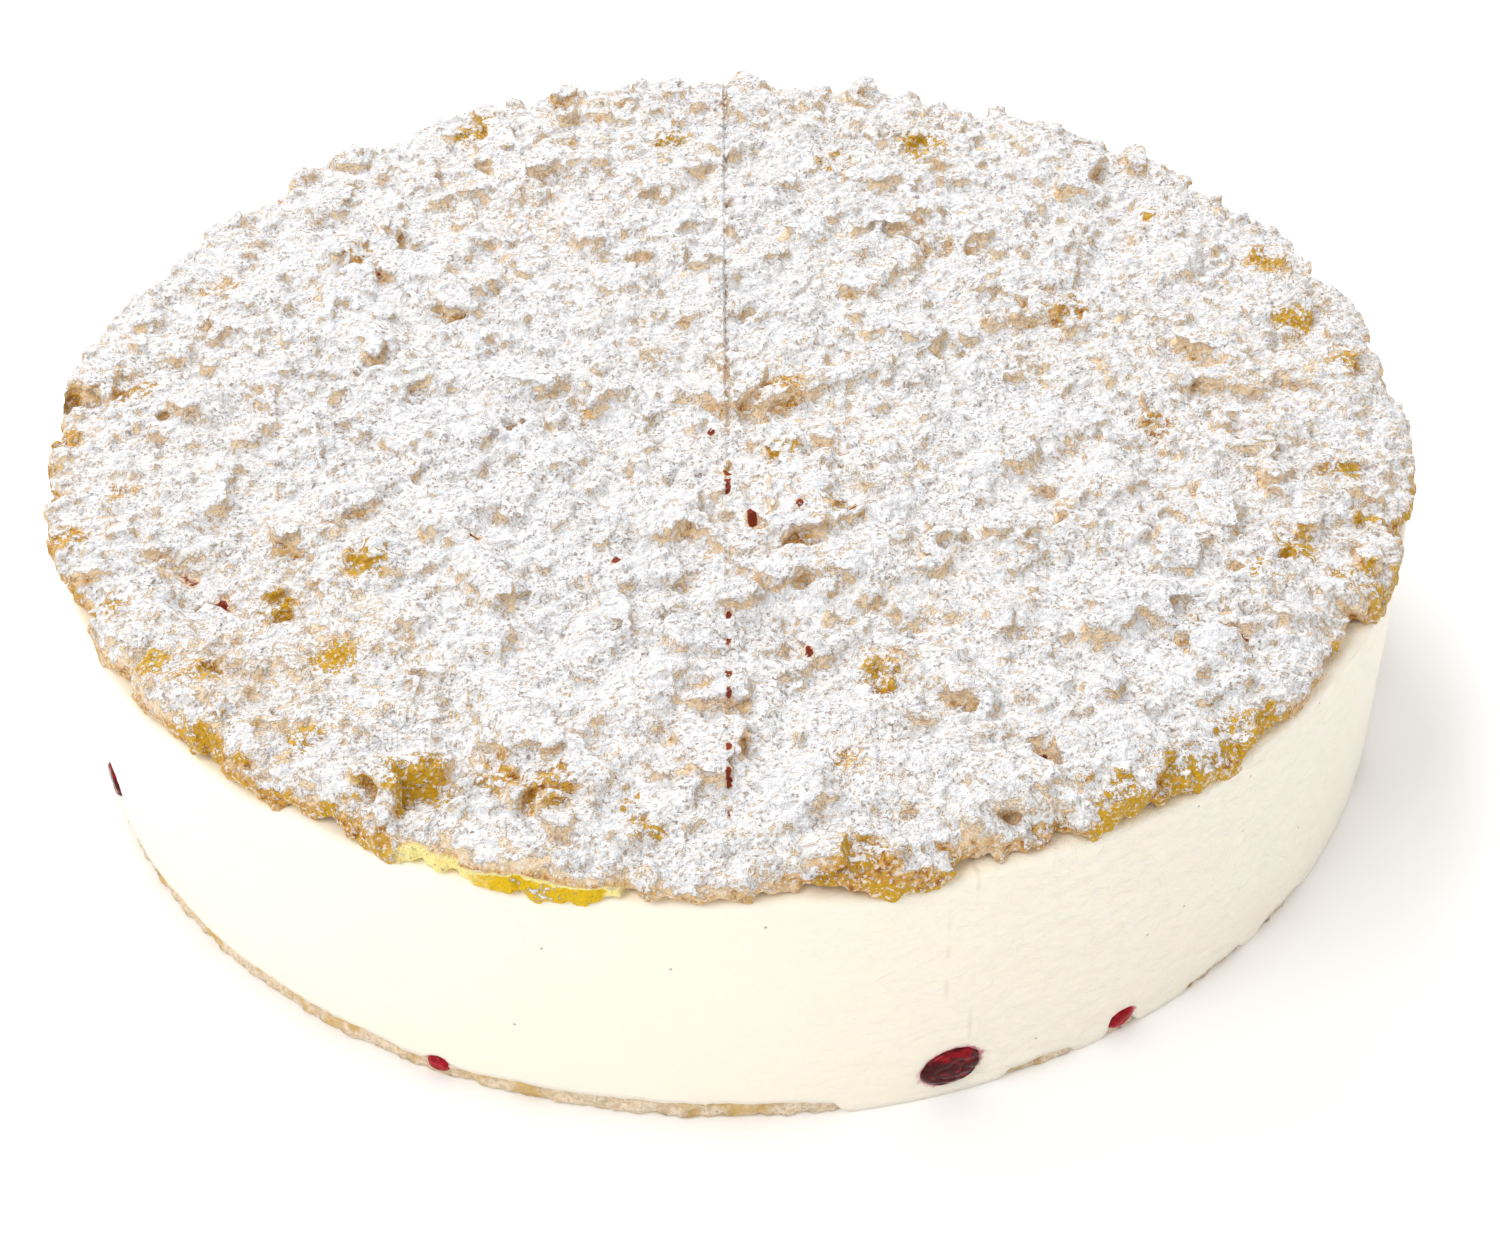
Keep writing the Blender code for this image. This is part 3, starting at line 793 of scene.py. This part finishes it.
def paint_layer(data):
    """Paints how much sugar lies, how golden the flake is, the juice, and painted shade in cracks and the
    cut.
    """
    points, normals = points_of(data), normals_of(data)
    angles, reach = angle_of(points), reach_of(points)
    field, cells = height_map(points)
    height = points[:, 2]
    above = field[cells] - height
    near = blurred(field, 2.5 * MM)[cells] - height
    wide = blurred(field, 7 * MM)[cells] - height
    rim = over(reach, 0.90 * RADIUS, 0.985 * RADIUS)
    regions = bumps(points, 32, 61)
    cover = 0.22 + 0.60 * over(normals[:, 2], 0.25, 0.85) - 0.8 * over(above, 0.9 * MM, 2.2 * MM)
    cover -= 0.35 * over(near, 0.7 * MM, 2.2 * MM) - 0.16 * regions + 0.06 * rim
    for x, y, reach_mm, much in SUGAR_REGIONS:
        cover += much * np.exp(-(away(points, x, y) / reach_mm) ** 2)
    # Deeper in a crack the flake is painted a darker gold, as painted shade; the rest is its baked colour.
    gold = 0.10 + 0.50 * over(near, 0.5 * MM, 2.4 * MM) + 0.35 * bumps(points, 9, 71)
    side = rim * (1 - over(normals[:, 2], 0.35, 0.75))
    ochre = np.zeros(len(points))
    for first, last, strength in GOLDEN_RIM:
        baked = side * strength * between(angles, first, last)
        gold += 0.8 * baked
        cover -= 0.05 * baked
        ochre = np.maximum(ochre, baked * over(bumps(points, 8, 91), -0.4, 0.3))
    for first, last in SUGARED_RIM:
        cover += 0.5 * side * between(angles, first, last)
    yellow = between(angles, *YELLOW_RIM) * over(reach, 0.965 * RADIUS, 0.98 * RADIUS)
    yellow *= 1 - over(height, CREAM_TOP + 1.8 * MM, CREAM_TOP + 3.2 * MM)
    yellow *= 0.75 + 0.25 * over(angles, -20, -15)
    ragged = 1.0 + 0.45 * bumps(points, 4, 47)
    for x, y, reach_mm, share in GOLD_PATCHES:
        patch = 1 - over(away(points, x, y) / reach_mm * ragged, 0.45, 1.05)
        gold += 0.8 * patch
        cover -= 0.55 * patch * (0.55 + 0.45 * (1 - over(normals[:, 2], 0.6, 0.95)))
        ochre = np.maximum(ochre, patch * share)
    clots = over(bumps(points, 7, 83), 0.05, 0.45)
    juice = clots * over(wide, 2.4 * MM, 3.8 * MM) * (1 - rim)
    for x, y in JUICE_PLACES:
        juice = np.maximum(juice, 1 - over(away(points, x, y, 0.7) * ragged, 0.5, 1.3))
    for y in CUT_DOTS:
        juice = np.maximum(juice, 1 - over(away(points, KNIFE_X / MM, y, 0.5) * ragged, 0.35, 0.9))
    # Along the knife cut less sugar lies, and a darker tan is painted there as the shade of the slot,
    # stronger towards the back.
    across = np.abs(points[:, 0] - KNIFE_X)
    at_back = 0.35 + 0.65 * over(points[:, 1], -25 * MM, 5 * MM)
    cut_line_and_shade = at_back * (1 - over(across, 0.25 * MM, 0.7 * MM))
    cover += 0.45 * (1 - over(across, 0.4 * MM, 0.9 * MM)) * over(points[:, 1], 5 * MM, 25 * MM)
    paint(data, "cut_line_and_shade", cut_line_and_shade)
    paint(data, "ochre", ochre)
    paint(data, "cover", np.clip(cover - yellow - 0.35 * cut_line_and_shade - juice, 0, 1))
    paint(data, "gold", np.clip(gold, 0, 1))
    paint(data, "yellow", yellow)
    paint(data, "juice", juice)
    print("sugar covers", round(float(np.mean(cover > 0.5)), 2), "juice", round(float(juice.mean()), 4))


paint_layer(layer.data)

# %% [markdown]
# ## The finish of sugared flakes
# Icing sugar is a matt, nearly white powder, but not a clean coat: tan specks of flake show through
# everywhere. Fine noise is added to the painted amount of sugar, and there is sugar only where the
# sum is high enough. The flake below goes from pale tan to gold, and to dark red where juice rose.

# %% Sugared flakes


def sugared_finish():
    finish = Finish("sugared_flakes", 0.85)
    speck = finish.grain(1.2, 4, 0.68)
    patch = finish.grain(4.5, 3, 0.55)
    mottle = finish.grain(1.6, 4, 0.65)
    dust = finish.grain(0.85, 3, 0.6).over(0.53, 0.62)
    amount = finish.painted("cover") + (speck - 0.5) * 2.7 + (patch - 0.5) * 1.6
    cover = amount.over(0.32, 0.44)
    gold = (finish.painted("gold") + (patch - 0.5) * 0.9 + (speck - 0.5) * 0.5).over(0.15, 0.95)
    ochre = (finish.painted("ochre") + (mottle - 0.5) * 0.8).over(0.20, 0.60)
    yellow = finish.painted("yellow")
    yolk = (finish.grain(5, 3) + (yellow - 0.85) * 1).over(0.36, 0.54)
    juice = (finish.painted("juice") + (speck - 0.5) * 1.2).over(0.40, 0.70)
    flake = finish.coats(
        finish.blend(gold, (240, 214, 178), (204, 154, 62)),
        (mottle.over(0.54, 0.70) * 0.6, (248, 232, 200)),
        # Dark brown specks of crust, denser where the gold is, and so partly painted shade in cracks.
        ((1 - mottle.over(0.36, 0.48)) * (gold * 0.6 + 0.4), (158, 98, 44)),
        (ochre * 0.8, (206, 160, 4)),
        (dust * 0.7, (244, 238, 234)),
        (yellow.over(0.1, 0.7), finish.blend(yolk, (250, 236, 156), (230, 188, 2))),
        (juice, (130, 44, 20)),
        # The darker tan along the knife cut is painted shade of the slot.
        (finish.painted("cut_line_and_shade") * (1 - juice) * 0.8, (176, 146, 122)),
    )
    clusters = finish.grain(5, 2, 0.5, 0.4).over(0.34, 0.58)
    # The grey-to-white mottle of the sugar is painted shade, standing in for the soft shading of its small
    # folds.
    tint = finish.grain(1.5, 3, 0.6, 0.6).over(0.36, 0.64)
    sugar = finish.blend(tint, (214, 214, 216), (246, 246, 247))
    sugar = finish.blend(dust * clusters * 0.95, sugar, (166, 150, 140))
    sugar = finish.blend(amount.over(0.36, 0.80), (238, 226, 214), sugar)
    bump = speck * 0.8 + finish.grain(2.4, 3, 0.6) * 2.0
    finish.set(
        Base_Color=finish.blend(cover, flake, sugar),
        Roughness=cover.over(0, 1) * 0.35 + 0.6,
        Normal=finish.relief(bump + cover * 0.4, 0.8 * MM),
        Specular_IOR_Level=0.25,
    )
    return finish.material


sugared_flakes = sugared_finish()
print(len(sugared_flakes.node_tree.nodes), "nodes in", sugared_flakes.name)

# %% [markdown]
# ## Four quarters
# So many small faces are too much for one piece, so the layer is divided as a torte is portioned:
# along the knife cut, and once across it. Its underside lies on the cream and never shows, so
# thousands of faces there give way to one fan. Each quarter is closed where it was parted.

# %% Underside and quarters
HIDDEN_REACH = 0.93 * RADIUS


def open_edges(mesh):
    return [edge for edge in mesh.edges if edge.is_boundary]


def close_underside(mesh):
    """The faces that lie on the cream become one fan round the middle."""
    hidden = []
    for face in mesh.faces:
        place = face.calc_center_median()
        inside = math.hypot(place.x, place.y) < HIDDEN_REACH
        if inside and place.z < UNDERSIDE and face.normal.z < -0.3:
            hidden.append(face)
    bmesh.ops.delete(mesh, geom=hidden, context="FACES")
    made = bmesh.ops.holes_fill(mesh, edges=open_edges(mesh), sides=0)["faces"]
    bmesh.ops.poke(mesh, faces=made)
    return len(hidden)


def keep_side(mesh, place, outwards):
    """Cuts off what lies beyond a plane, and closes the cut with flat faces."""
    everything = [*mesh.verts, *mesh.edges, *mesh.faces]
    bmesh.ops.bisect_plane(mesh, geom=everything, plane_co=place, plane_no=outwards, clear_outer=True)
    rim = open_edges(mesh)
    wall = bmesh.ops.holes_fill(mesh, edges=rim, sides=0)["faces"]
    for face in wall:
        face.smooth = False
    for edge in rim:
        edge.smooth = False


def add_quarters(layer):
    """The four quarters of the flake layer as pieces."""
    whole = bmesh.new()
    whole.from_mesh(layer.data)
    print("underside faces closed:", close_underside(whole))
    cut = Vector((KNIFE_X, 0, 0))
    pieces = []
    for side, across in (("left", 1), ("right", -1)):
        half = whole.copy()
        keep_side(half, cut, Vector((across, 0, 0)))
        for end, along in (("front", 1), ("back", -1)):
            quarter = half.copy()
            keep_side(quarter, Vector(), Vector((0, along, 0)))
            pieces.append(add_object(f"flakes_{end}_{side}", quarter))
        half.free()
    whole.free()
    return pieces


quarters = add_quarters(layer)
bpy.data.objects.remove(layer, do_unlink=True)
for quarter in quarters:
    finish_piece(quarter, sugared_flakes, "sugared_flakes", "flake_layer")

# %% [markdown]
# ## The cream
# The cream was poured into a ring mould, so its wall is smooth, with a few pores, faint smears from
# the knife that freed it, and a soft edge. Rays measure the frame's solid, and a finer wall is
# extruded ring by ring to those measures, then smeared and dented.

# %% Rings round the torte
WALL_SEGMENTS = 20 * 36


def layered_disc(rings):
    """A closed disc, extruded ring by ring; each ring gives radius and height for an angle."""
    mesh = bmesh.new()
    made = bmesh.ops.create_circle(mesh, cap_ends=True, segments=WALL_SEGMENTS, radius=1)
    verts, cap = made["verts"], list(mesh.faces)
    for step, ring in enumerate(rings):
        if step:
            old_cap = cap
            made = bmesh.ops.extrude_face_region(mesh, geom=old_cap)["geom"]
            cap = [item for item in made if isinstance(item, bmesh.types.BMFace)]
            verts = [item for item in made if isinstance(item, bmesh.types.BMVert)]
            if step > 1:
                bmesh.ops.delete(mesh, geom=old_cap, context="FACES_ONLY")
        for vert in verts:
            angle = math.atan2(vert.co.x, -vert.co.y)
            radius, height = ring(angle)
            vert.co = (radius * math.sin(angle), -radius * math.cos(angle), height)
    bmesh.ops.poke(mesh, faces=cap)
    bmesh.ops.recalc_face_normals(mesh, faces=mesh.faces)
    for face in mesh.faces:
        face.smooth = True
    return mesh


print(WALL_SEGMENTS, "columns,", round(math.tau * RADIUS / WALL_SEGMENTS / MM, 2), "mm apart")

# %% Cream and base heights
EDGE_ROUNDING = 1.4 * MM
WALL_ROWS = 46
# Rings over the rounded edge, as shares of the rounding: how far back, how far down
EDGE_STEPS = ((0.12, 0.6), (0.4, 0.3), (0.8, 0.1), (1.5, 0))
INWARD_STEPS = (4 * MM, 8 * MM, 14 * MM)
PROFILE_REACH = RADIUS - 4 * MM


def profile(node):
    """Heights of a node just inside the wall for every degree, by rays from above."""
    mesh = merged_copy(node)
    tree = BVHTree.FromBMesh(mesh)
    mesh.free()
    heights = []
    for degrees in range(360):
        angle = degrees * DEGREE
        place, _ = surface_at(tree, PROFILE_REACH * math.sin(angle), -PROFILE_REACH * math.cos(angle))
        heights.append(place.z if place is not None else None)
    return heights


top_heights = profile("cream")
rim_heights = profile("base")
known = [height for height in rim_heights if height is not None]
rim_heights = [sum(known) / len(known) if height is None else height for height in rim_heights]


def read_ring(heights, angle):
    """A height between two whole degrees."""
    degrees = (angle / DEGREE) % 360.0
    low = int(degrees)
    share = degrees - low
    return heights[low % 360] * (1 - share) + heights[(low + 1) % 360] * share


for name, heights in (("cream edge", top_heights), ("base rim", rim_heights)):
    print(name, round(min(heights) / MM, 1), "to", round(max(heights) / MM, 1), "mm")

# %% Cream piece


def ring_noise(angle, pitch, seed):
    """Noise from -1 to 1 that closes round the rim; its pitch is in mm."""
    radius = RADIUS / (pitch * MM)
    return noise.noise(Vector((radius * math.sin(angle), -radius * math.cos(angle), seed)))


# Where the base shows though cream was smeared over its rim: first and last angle
BASE_SHOWS = (
    (-2, 7.5), (20.5, 26.5), (29.5, 32.5), (37.5, 44.5), (46.5, 53), (66, 71), (80, 92), (104, 109),
    (121, 133), (150, 158), (168, 172),
)
SMEARED_STRETCH = (3, 176)
SMEAR_DEPTH = 2.6 * MM
turns = np.array([degrees - 360.0 * (degrees > 180) for degrees in range(360)])
shows = sum(between(turns, first, last, 0.7) for first, last in BASE_SHOWS)
smear_depths = (SMEAR_DEPTH * between(turns, *SMEARED_STRETCH) * (1 - np.minimum(shows, 1))).tolist()


def cream_foot(angle):
    """The cream's lower edge: ragged where it was smeared over the base."""
    ragged = 0.5 * MM * ring_noise(angle, 5, 5) + 0.4 * MM * ring_noise(angle, 1.6, 7)
    return max(read_ring(rim_heights, angle) + ragged - read_ring(smear_depths, angle), 0.3 * MM)


def cream_rings():
    """From inside the foot, up the wall and over the soft edge to the middle."""
    def foot(back):
        return lambda angle: (RADIUS - back, cream_foot(angle) - 0.3 * MM)

    def wall(share):
        def ring(angle):
            low = cream_foot(angle)
            return RADIUS, low + share * (read_ring(top_heights, angle) - EDGE_ROUNDING - low)
        return ring

    def edge(back, down):
        return lambda angle: (RADIUS - back, read_ring(top_heights, angle) - down)

    rings = [foot(back) for back in (6 * MM, 1.2 * MM)]
    rings += [wall(row / WALL_ROWS) for row in range(WALL_ROWS + 1)]
    rings += [edge(back * EDGE_ROUNDING, down * EDGE_ROUNDING) for back, down in EDGE_STEPS]
    rings += [edge(back, 0) for back in INWARD_STEPS]
    return rings


# Fruits whose juice stained the cream, and the turn of their long axis in degrees
STAINS = (("cherry_front", 14), ("cherry_left", -10), ("berry_left", -8), ("berry_right", 20))
# Angles of two faint upright lines that the mould's joint left
SEAMS = (15.3, 17.3)


def smear_wall(data):
    """The wall's unevenness: waves, drawn-out smears, small dents and raised specks."""
    points = points_of(data)
    angles, reach, height = angle_of(points), reach_of(points), points[:, 2]
    side = over(reach, 0.985 * RADIUS, 0.992 * RADIUS)
    along = np.stack([points[:, 0], points[:, 1], 3.2 * height], 1)
    right = 0.35 + 0.65 * over(angles, -5, 22)
    wave = 0.22 * MM * bumps(points, 45, 3) + 0.10 * MM * bumps(along, 14, 9)
    smears = 0.07 * MM * right * bumps(along, 6, 15)
    specks = 0.16 * MM * right * over(bumps(points, 2.2, 33), 0.45, 0.75)
    dents = 0.14 * MM * over(bumps(points, 3.5, 55), 0.50, 0.80)
    lip = between(angles, -60, -44, 3) * over(height, CREAM_TOP - 4.5 * MM, CREAM_TOP - 2.5 * MM)
    push = wave + smears + specks - dents + 0.5 * MM * lip
    for node, _ in STAINS:
        low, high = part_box(node)
        far = np.linalg.norm((points - 0.5 * (low + high)) / (0.55 * (high - low)), axis=1)
        push -= 0.75 * MM * (1 - over(far, 0.9, 1.4))
    outwards = points[:, :2] / np.maximum(reach, MM)[:, None]
    points[:, :2] += outwards * (side * push)[:, None]
    move_points(data, points)


def stain_round(finish, node, turn):
    """How much juice the cream took up round a fruit."""
    low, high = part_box(node)
    middle = 0.5 * (low + high)
    angle = math.atan2(middle.x, -middle.y)
    width = 0.5 * math.hypot(high.x - low.x, high.y - low.y)
    half = (0.88 * width, 0.9 * width, 0.5 * (high.z - low.z))
    sockets = {"Vector": finish.place, "Location": middle, "Rotation": (0, -turn * DEGREE, angle)}
    local = finish.node("Mapping", {"vector_type": "TEXTURE"}, {**sockets, "Scale": half})
    far = finish.node("VectorMath", {"operation": "LENGTH"}, {0: local}, "Value")
    ragged = far + (finish.grain(1.2, 3) - 0.5) * 0.5
    return (1 - ragged.over(0.95, 1.16)) * 0.8


def cream_finish():
    finish = Finish("set_cream", 0.42)
    tone = finish.grain(22, 3)
    pores = finish.cells(5.5)
    lottery = finish.cells(5.5, output="Color")
    chosen = finish.node("SeparateColor", None, {"Color": lottery})
    pit = (1 - pores.over(0.030, 0.055)) * chosen.over(0.55, 0.60)
    fleck = (1 - finish.cells(2.4).over(0.05, 0.11)) * finish.grain(15).over(0.5, 0.7)
    cream = finish.coats(
        finish.blend(tone, (253, 240, 221), (254, 244, 229)),
        # Pores are painted grey, as the shade inside them.
        (pit * 0.75, (150, 138, 120)),
        (fleck * 0.35, (225, 215, 200)),
        *((stain_round(finish, node, turn), (196, 70, 104)) for node, turn in STAINS),
    )
    stretched = finish.node("Mapping", None, {"Vector": finish.place, "Scale": (1, 1, 1.7)})
    smear = finish.grain(4, 4, 0.58, 0.8, stretched)
    aside, ahead = (finish.node("SeparateXYZ", None, {0: finish.place}, axis) for axis in (0, 1))
    smeared = aside.over(-20 * MM, 60 * MM) * 2.4 + 0.6
    turn = aside.maths("ARCTAN2", aside, 0 - ahead)
    for middle in SEAMS:
        off = turn.maths("ABSOLUTE", turn - middle * DEGREE)
        seam = (1 - off.over(0.05 * DEGREE, 0.30 * DEGREE)) * finish.grain(9).over(0.45, 0.62)
        cream = finish.blend(seam * 0.3, cream, (206, 198, 180))
    finish.set(
        Base_Color=cream,
        Roughness=finish.grain(8, 3) * 0.2 + 0.34,
        Normal=finish.relief(smear * smeared + pit * -1.5, 0.3 * MM),
        Subsurface_Weight=0.4,
        Subsurface_Radius=(1, 0.75, 0.45),
        Subsurface_Scale=3 * MM,
        Specular_IOR_Level=0.35,
    )
    return finish.material


cream = add_object("cream_disc", layered_disc(cream_rings()))
smear_wall(cream.data)
finish_piece(cream, cream_finish(), "set_cream", "cream")

# %% [markdown]
# ## The base
# The base is a thin sheet of baked dough that shows as a crumbly tan band. It is made of rings like
# the cream, its rim pushed in and out by noise so that it breaks off in small steps. Its underside
# stays flat, because the torte stands on it.

# %% Base piece


def base_rings():
    """Flat below, a ragged rim, and a top that the cream covers."""
    def rim(angle, inset, share):
        inset += 0.45 * read_ring(smear_depths, angle)
        ragged = 0.7 * MM * ring_noise(angle, 3, 2.0 + 3.0 * share)
        ragged += 0.7 * MM * ring_noise(angle, 1.5, 9.0 + 5.0 * share)
        return min(RADIUS - inset + ragged, RADIUS - 0.1 * MM)

    def side(inset, share):
        return lambda angle: (rim(angle, inset, share), share * (read_ring(rim_heights, angle) + 0.25 * MM))

    rings = [lambda angle: (RADIUS - 1.9 * MM, 0)]
    rings += [side(0.6 * MM, share) for share in (0.1, 0.25, 0.4, 0.55, 0.7, 0.85)]
    rings += [side(0.9 * MM, 1)]
    rings += [lambda angle: (RADIUS - 5 * MM, read_ring(rim_heights, angle))]
    return rings


def baked_finish():
    finish = Finish("baked_base", 0.8)
    speck = finish.grain(1.2, 4, 0.65)
    patch = finish.grain(7, 3)
    dough = finish.coats(
        finish.blend(speck.over(0.40, 0.62), (240, 224, 200), (214, 190, 158)),
        (patch.over(0.50, 0.66) * 0.75, (206, 168, 88)),
        ((1 - speck.over(0.30, 0.42)) * 0.8, (160, 126, 92)),
    )
    finish.set(
        Base_Color=dough,
        Normal=finish.relief(speck + finish.grain(0.5, 2) * 0.5, 0.4 * MM),
        Specular_IOR_Level=0.2,
    )
    return finish.material


base = add_object("base_sheet", layered_disc(base_rings()))
finish_piece(base, baked_finish(), "baked_base", "base")

# %% [markdown]
# ## Cherries and berries
# A few cherries were pressed against the mould, so their skins lie flush in the wall, wet and
# wrinkled. The frame's egg shapes are right but smooth, so they are subdivided, and drawn-out noise
# gives the wrinkles.

# %% Fruit pieces


def fruit_finish(name, dark, bright, pitch):
    finish = Finish(name, 0.16)
    # Brighter red streaks stand partly for red glints of light in the wet skin, partly for its uneven
    # colour.
    streaks_and_glints = finish.grain(pitch, 3, 0.6, 0.8)
    finish.set(
        Base_Color=finish.blend(streaks_and_glints.over(0.45, 0.72), dark, bright),
        Roughness=finish.grain(0.6 * pitch, 2) * 0.2 + 0.08,
        Normal=finish.relief(finish.grain(0.5 * pitch, 3), 0.15 * MM),
        Coat_Weight=0.08,
        Specular_IOR_Level=0.15,
        Subsurface_Weight=0.15,
        Subsurface_Radius=(1, 0.2, 0.1),
        Subsurface_Scale=MM,
    )
    return finish.material


def add_fruit(node, finish, slot, wrinkle):
    """The frame's berry, made fine and wrinkled."""
    piece = add_object(f"{node}_skin", merged_copy(node))
    soft = piece.modifiers.new("soft", "SUBSURF")
    soft.levels = soft.render_levels = 3
    apply_modifiers(piece)
    low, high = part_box(node)
    points, normals = points_of(piece.data), normals_of(piece.data)
    folds = np.abs(bumps(points * (1, 1, 1.8), 3.2, 12)) * 1.6 - 0.5
    points += normals * (wrinkle * np.minimum(folds, 0))[:, None]
    least, most = points.min(0), points.max(0)
    points = np.array(low) + (points - least) * (np.array(high - low) / (most - least))
    move_points(piece.data, points)
    piece.data.shade_smooth()
    finish_piece(piece, finish, slot, node)


cherry = fruit_finish("dark_cherry", (66, 2, 8), (150, 10, 26), 2.5)
berry = fruit_finish("red_berry", (140, 10, 24), (204, 26, 50), 1.5)
add_fruit("cherry_front", cherry, "dark_cherry", 0.45 * MM)
add_fruit("cherry_left", cherry, "dark_cherry", 0.3 * MM)
add_fruit("berry_left", berry, "red_berry", 0.15 * MM)
add_fruit("berry_right", berry, "red_berry", 0.15 * MM)
